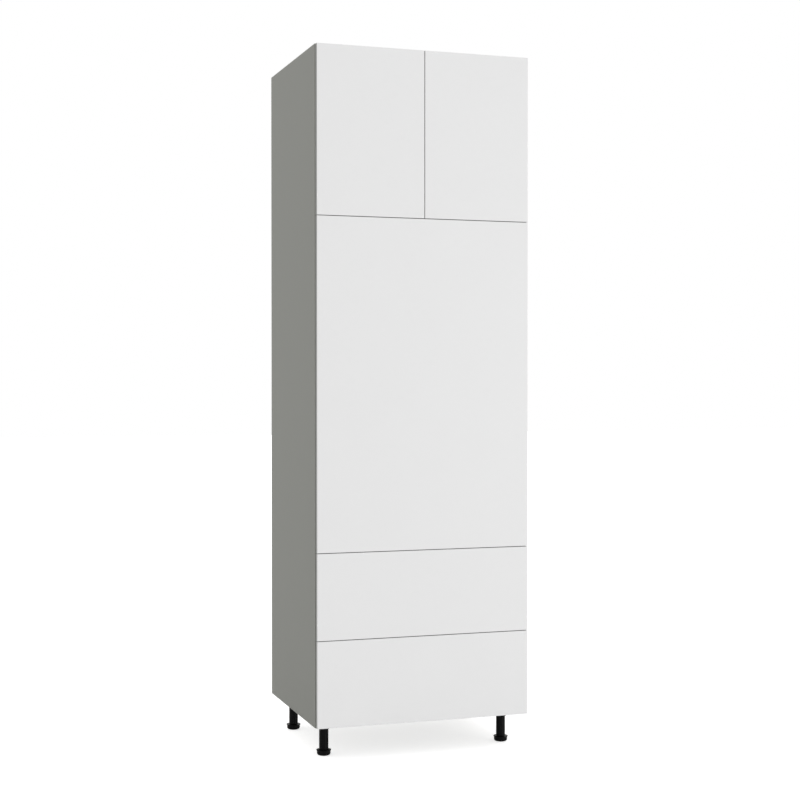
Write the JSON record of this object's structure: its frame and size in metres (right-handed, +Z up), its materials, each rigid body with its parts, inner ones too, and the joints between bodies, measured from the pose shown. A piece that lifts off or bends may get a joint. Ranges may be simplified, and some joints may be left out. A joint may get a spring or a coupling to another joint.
{
  "type": "tall kitchen cabinet",
  "caption": "Tall frameless kitchen cabinet on black levelling legs, with paired slab doors on top, a large fixed blank slab in the middle and full-width slab drawers below.",
  "frame": {"origin": "on the floor, at the centre of the cabinet's whole footprint, fronts included", "axes": "+X to the cabinet's right as seen from its front, +Y to its back (the fronts face -Y), +Z up"},
  "size_m": [0.762, 0.6306, 2.4003],
  "materials": {
    "front_foil": "satin white foil on fibreboard",
    "carcass_melamine": "matt grey melamine on particleboard",
    "back_hardboard": "painted hardboard",
    "drawer_bottom_board": "melamine-faced hardboard",
    "drawer_board": "matt grey melamine on particleboard",
    "runner_steel": "bright zinc plate",
    "cage_plastic": "natural moulded plastic",
    "screw_steel": "zinc-plated steel",
    "hinge_steel": "nickel-plated steel",
    "pin_steel": "nickel-plated steel",
    "cam_zinc": "die-cast zinc",
    "dowel_beech": "fluted beech",
    "bracket_steel": "galvanised steel",
    "bumper_plastic": "soft clear plastic",
    "leg_plastic": "black moulded plastic"
  },
  "bodies": {
    "carcass": {"adjustable_shelf": "carcass_melamine", "back_panel_lower": "back_hardboard", "back_panel_upper": "back_hardboard", "bottom_panel": "carcass_melamine", "cam_bolts": "screw_steel", "cam_locks": "cam_zinc", "carcass_screws": "screw_steel", "cupboard_floor": "carcass_melamine", "dowels": "dowel_beech", "front_panel": "front_foil", "hinge_arms": "hinge_steel", "hinge_plates": "hinge_steel", "leg_plates": "leg_plastic", "leg_tubes": "leg_plastic", "oven_deck": "carcass_melamine", "panel_brackets": "bracket_steel", "rear_rail_middle": "carcass_melamine", "rear_rail_top": "carcass_melamine", "runner_cabinet_members": "runner_steel", "shelf_pins": "pin_steel", "side_panel_left": "carcass_melamine", "side_panel_right": "carcass_melamine", "top_panel": "carcass_melamine"},
    "door_left": {"door_left": "front_foil", "hinge_cups_left": "hinge_steel", "hinge_cup_screws_left": "screw_steel", "door_bumpers_left": "bumper_plastic"},
    "door_right": {"door_right": "front_foil", "hinge_cups_right": "hinge_steel", "hinge_cup_screws_right": "screw_steel", "door_bumpers_right": "bumper_plastic"},
    "hinge_links_left": {"hinge_links_left": "hinge_steel"},
    "hinge_links_right": {"hinge_links_right": "hinge_steel"},
    "drawer_lower": {"drawer_back_lower": "drawer_board", "drawer_bottom_lower": "drawer_bottom_board", "drawer_front_lower": "front_foil", "drawer_screws_lower": "screw_steel", "drawer_side_left_lower": "drawer_board", "drawer_side_right_lower": "drawer_board", "drawer_subfront_lower": "drawer_board", "runner_drawer_members_lower": "runner_steel"},
    "runner_middle_lower": {"runner_middle_members_lower": "runner_steel"},
    "runner_outer_cages_lower": {"runner_outer_cages_lower": "cage_plastic"},
    "runner_inner_cages_lower": {"runner_inner_cages_lower": "cage_plastic"},
    "drawer_upper": {"drawer_back_upper": "drawer_board", "drawer_bottom_upper": "drawer_bottom_board", "drawer_front_upper": "front_foil", "drawer_screws_upper": "screw_steel", "drawer_side_left_upper": "drawer_board", "drawer_side_right_upper": "drawer_board", "drawer_subfront_upper": "drawer_board", "runner_drawer_members_upper": "runner_steel"},
    "runner_middle_upper": {"runner_middle_members_upper": "runner_steel"},
    "runner_outer_cages_upper": {"runner_outer_cages_upper": "cage_plastic"},
    "runner_inner_cages_upper": {"runner_inner_cages_upper": "cage_plastic"},
    "foot_front_left": {"foot_front_left": "leg_plastic"},
    "foot_front_right": {"foot_front_right": "leg_plastic"},
    "foot_rear_left": {"foot_rear_left": "leg_plastic"},
    "foot_rear_right": {"foot_rear_right": "leg_plastic"}
  },
  "joints": [
    {"name": "door_left_swing", "type": "hinge", "parent": "carcass", "child": "door_left", "pos_m": [-0.3735, -0.3083, 2.1138], "axis": [0, 0, -1], "range_deg": [0, 105]},
    {"name": "hinge_links_left_turn", "type": "hinge", "parent": "carcass", "child": "hinge_links_left", "pos_m": [-0.3465, -0.3057, 2.1138], "axis": [0, 0, -1], "range_deg": [-32, 0]},
    {"name": "door_right_swing", "type": "hinge", "parent": "carcass", "child": "door_right", "pos_m": [0.3735, -0.3083, 2.1138], "axis": [0, 0, 1], "range_deg": [0, 105]},
    {"name": "hinge_links_right_turn", "type": "hinge", "parent": "carcass", "child": "hinge_links_right", "pos_m": [0.3465, -0.3057, 2.1138], "axis": [0, 0, 1], "range_deg": [-32, 0]},
    {"name": "drawer_upper_slide", "type": "slide", "parent": "carcass", "child": "drawer_upper", "axis": [0, -1, 0], "range_m": [0, 0.48]},
    {"name": "runner_middle_upper_slide", "type": "slide", "parent": "carcass", "child": "runner_middle_upper", "axis": [0, -1, 0], "range_m": [0, 0.24]},
    {"name": "runner_outer_cages_upper_slide", "type": "slide", "parent": "carcass", "child": "runner_outer_cages_upper", "axis": [0, -1, 0], "range_m": [0, 0.12]},
    {"name": "runner_inner_cages_upper_slide", "type": "slide", "parent": "carcass", "child": "runner_inner_cages_upper", "axis": [0, -1, 0], "range_m": [0, 0.36]},
    {"name": "drawer_lower_slide", "type": "slide", "parent": "carcass", "child": "drawer_lower", "axis": [0, -1, 0], "range_m": [0, 0.48]},
    {"name": "runner_middle_lower_slide", "type": "slide", "parent": "carcass", "child": "runner_middle_lower", "axis": [0, -1, 0], "range_m": [0, 0.24]},
    {"name": "runner_outer_cages_lower_slide", "type": "slide", "parent": "carcass", "child": "runner_outer_cages_lower", "axis": [0, -1, 0], "range_m": [0, 0.12]},
    {"name": "runner_inner_cages_lower_slide", "type": "slide", "parent": "carcass", "child": "runner_inner_cages_lower", "axis": [0, -1, 0], "range_m": [0, 0.36]},
    {"name": "foot_front_left_turn", "type": "hinge", "parent": "carcass", "child": "foot_front_left", "pos_m": [-0.3255, -0.2013, 0.01], "axis": [0, 0, 1], "continuous": true},
    {"name": "foot_front_right_turn", "type": "hinge", "parent": "carcass", "child": "foot_front_right", "pos_m": [0.3255, -0.2013, 0.01], "axis": [0, 0, 1], "continuous": true},
    {"name": "foot_rear_left_turn", "type": "hinge", "parent": "carcass", "child": "foot_rear_left", "pos_m": [-0.3255, 0.2097, 0.01], "axis": [0, 0, 1], "continuous": true},
    {"name": "foot_rear_right_turn", "type": "hinge", "parent": "carcass", "child": "foot_rear_right", "pos_m": [0.3255, 0.2097, 0.01], "axis": [0, 0, 1], "continuous": true}
  ],
  "couplings": [
    {"joint": "hinge_links_left_turn", "follows": "door_left_swing", "ratio": -0.302},
    {"joint": "hinge_links_right_turn", "follows": "door_right_swing", "ratio": -0.302},
    {"joint": "runner_middle_upper_slide", "follows": "drawer_upper_slide", "ratio": 0.5},
    {"joint": "runner_outer_cages_upper_slide", "follows": "drawer_upper_slide", "ratio": 0.25},
    {"joint": "runner_inner_cages_upper_slide", "follows": "drawer_upper_slide", "ratio": 0.75},
    {"joint": "runner_middle_lower_slide", "follows": "drawer_lower_slide", "ratio": 0.5},
    {"joint": "runner_outer_cages_lower_slide", "follows": "drawer_lower_slide", "ratio": 0.25},
    {"joint": "runner_inner_cages_lower_slide", "follows": "drawer_lower_slide", "ratio": 0.75}
  ]
}
